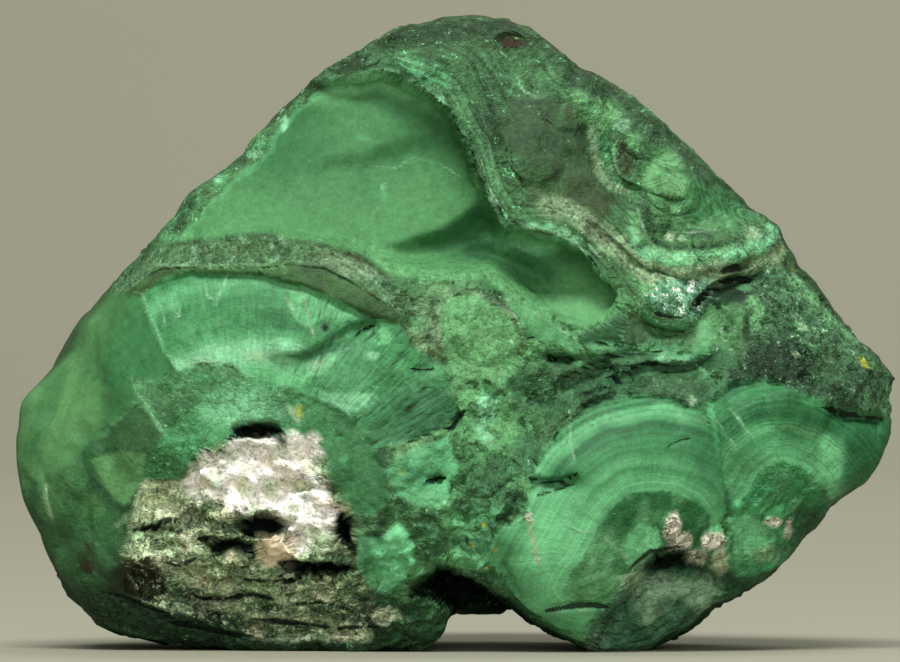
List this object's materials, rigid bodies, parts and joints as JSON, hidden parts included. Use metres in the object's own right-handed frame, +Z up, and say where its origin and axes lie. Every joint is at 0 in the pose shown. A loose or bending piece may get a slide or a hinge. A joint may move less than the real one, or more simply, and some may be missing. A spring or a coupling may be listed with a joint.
{
  "type": "malachite specimen",
  "caption": "Rough stone of banded green malachite with a scooped hollow, fanned growth bands and a pocket of pale porous matrix, standing on its lower lobes.",
  "frame": {"origin": "under the middle of the stone's box, on the surface that it stands on", "axes": "+X to the right across the broken face, +Y into the stone away from the broken face, +Z up"},
  "size_m": [0.1006, 0.0582, 0.0729],
  "materials": {
    "stone": "satin broken mineral with a rough weathered skin"
  },
  "bodies": {
    "root": {"malachite": "stone"}
  },
  "joints": []
}
